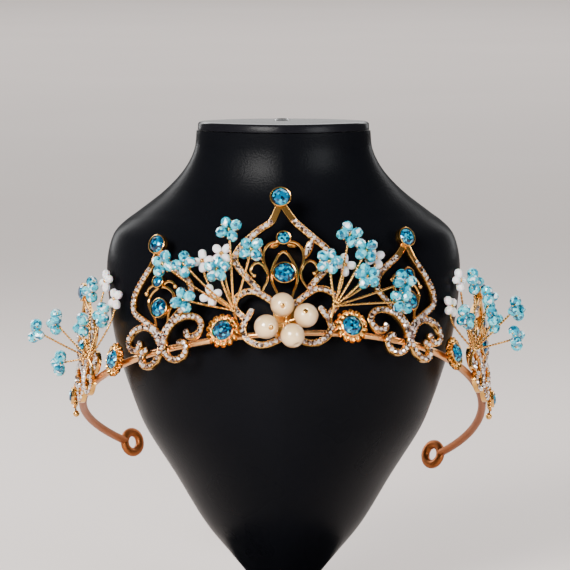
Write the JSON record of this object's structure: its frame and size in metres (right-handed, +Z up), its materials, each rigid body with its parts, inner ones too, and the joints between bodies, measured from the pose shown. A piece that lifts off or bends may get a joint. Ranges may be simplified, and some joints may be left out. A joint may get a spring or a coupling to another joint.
{
  "type": "bridal crown on a neck bust",
  "caption": "Gilt bridal crown of pierced castings, blue stones, pearls and glass bead sprays on a thin open band, shown leaning on a plain black neck bust.",
  "frame": {"origin": "centre of the base plate's underside", "axes": "+Z up; the crown faces -Y; +X to the viewer's right as the crown is looked at"},
  "size_m": [0.1692, 0.1502, 0.1674],
  "materials": {
    "leatherette": "smooth black leatherette with a soft sheen",
    "gold": "polished gold-coloured metal, a little coppery",
    "blue_stone": "cut deep blue glass",
    "pearl": "ivory pearl lustre",
    "aqua_bead": "faceted aqua glass",
    "white_bead": "frosted white glass"
  },
  "bodies": {
    "root": {"neck_bust": "leatherette", "neck_cap": "leatherette", "base_plate": "leatherette", "band_pin": "gold", "head_band": "gold", "centre_frame": "gold", "side_frame_left": "gold", "side_frame_right": "gold", "far_frame_left": "gold", "far_frame_right": "gold", "stone_centre_top": "blue_stone", "stone_centre_upper": "blue_stone", "stone_centre_round": "blue_stone", "stone_side_left_top": "blue_stone", "stone_side_left_upper": "blue_stone", "stone_side_left_round": "blue_stone", "stone_side_right_top": "blue_stone", "stone_side_right_upper": "blue_stone", "stone_side_right_round": "blue_stone", "stone_far_left_top": "blue_stone", "stone_far_left_upper": "blue_stone", "stone_far_left_round": "blue_stone", "stone_far_right_top": "blue_stone", "stone_far_right_upper": "blue_stone", "stone_far_right_round": "blue_stone", "flower_setting_front_left": "gold", "stone_front_setting_left": "blue_stone", "flower_setting_front_right": "gold", "stone_front_setting_right": "blue_stone", "flower_setting_side_left": "gold", "stone_side_setting_left": "blue_stone", "flower_setting_side_right": "gold", "stone_side_setting_right": "blue_stone", "flower_setting_end_left": "gold", "stone_end_setting_left": "blue_stone", "flower_setting_end_right": "gold", "stone_end_setting_right": "blue_stone", "pearl_top": "pearl", "pearl_left": "pearl", "pearl_right": "pearl", "pearl_bottom": "pearl", "pearl_wires": "gold", "spray_front_left": "aqua_bead", "blossoms_front_left": "white_bead", "spray_front_right": "aqua_bead", "blossoms_front_right": "white_bead", "spray_far_left": "aqua_bead", "blossoms_far_left": "white_bead", "spray_far_right": "aqua_bead", "blossoms_far_right": "white_bead"}
  },
  "joints": []
}
